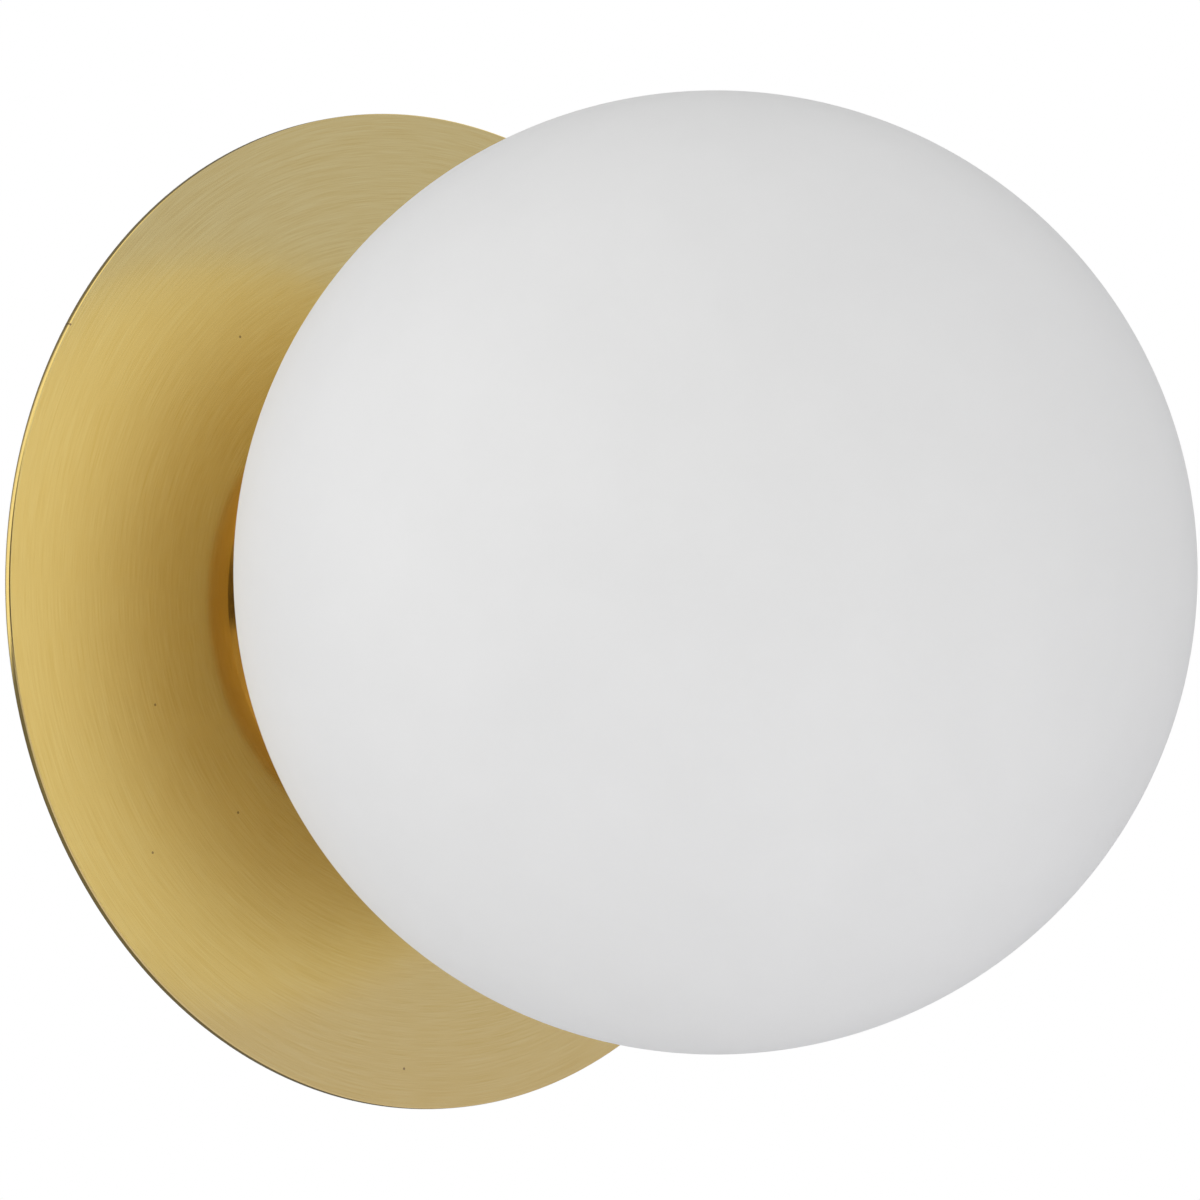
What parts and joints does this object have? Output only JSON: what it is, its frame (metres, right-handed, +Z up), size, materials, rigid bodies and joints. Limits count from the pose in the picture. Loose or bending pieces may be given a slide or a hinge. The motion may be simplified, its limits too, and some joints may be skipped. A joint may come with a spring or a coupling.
{
  "type": "globe wall sconce",
  "caption": "Wall sconce: an opal glass globe screwed into a short brass collar on a flat round brushed brass plate, with a plug-in lamp inside.",
  "frame": {"origin": "on the wall plane, midway between the crossbar's two wall screw slots, on the globe's axis", "axes": "+Y into the wall along the globe's axis, -Y out into the room, +Z up, +X to the right seen from the room"},
  "size_m": [0.16, 0.1731, 0.16],
  "materials": {
    "zinc_steel": "zinc-plated, satin",
    "brass_screw": "brass, satin",
    "earth_green": "green passivated",
    "tinned_copper": "tinned",
    "block_nylon": "natural nylon",
    "plain_brass": "plain turned",
    "zinc_screw": "zinc-plated",
    "lead_brown": "brown sleeve",
    "lead_blue": "blue sleeve",
    "lead_green": "green and yellow sleeve",
    "brushed_brass": "circular brushed, lacquered",
    "spring_steel": "spring steel",
    "holder_ceramic": "glazed white",
    "pin_nickel": "nickel-plated wire",
    "lamp_plastic": "white",
    "lamp_frosted": "frosted",
    "core_ceramic": "white ceramic carrier",
    "gasket_silicone": "translucent silicone",
    "opal_glass": "opal, satin outside"
  },
  "bodies": {
    "root": {"mounting_crossbar": "zinc_steel", "canopy_cup": "brushed_brass", "canopy_side_screws": "brass_screw", "ground_screw": "earth_green", "earth_lug": "tinned_copper", "terminal_block": "block_nylon", "terminal_sleeves": "plain_brass", "terminal_screws": "zinc_screw", "terminal_fixing_screw": "zinc_screw", "live_lead": "lead_brown", "neutral_lead": "lead_blue", "earth_lead": "lead_green", "disc_plate": "brushed_brass", "glass_collar": "brushed_brass", "threaded_nipple": "zinc_steel", "rear_lock_washer": "spring_steel", "rear_nut": "zinc_steel", "front_lock_washer": "spring_steel", "front_nut": "zinc_steel", "lamp_bridge": "zinc_steel", "bridge_screws": "zinc_screw", "bridge_nuts": "zinc_screw", "socket_body": "holder_ceramic", "socket_contacts": "plain_brass", "socket_screws": "zinc_screw"},
    "gasket": {"globe_gasket": "gasket_silicone"},
    "globe": {"glass_globe": "opal_glass"},
    "lamp": {"lamp_pins": "pin_nickel", "lamp_base": "lamp_plastic", "lamp_envelope": "lamp_frosted", "led_core": "core_ceramic"}
  },
  "joints": [
    {"name": "globe_advance", "type": "slide", "parent": "root", "child": "gasket", "axis": [0, -1, 0], "range_m": [0, 0.0046]},
    {"name": "globe_turn", "type": "hinge", "parent": "gasket", "child": "globe", "pos_m": [0, 0, 0], "axis": [0, -1, 0], "range_deg": [0, 540]},
    {"name": "lamp_pull", "type": "slide", "parent": "root", "child": "lamp", "axis": [0, -1, 0], "range_m": [0, 0.012]}
  ],
  "couplings": [
    {"joint": "globe_advance", "follows": "globe_turn", "m_per_rad": 0.00047746}
  ]
}
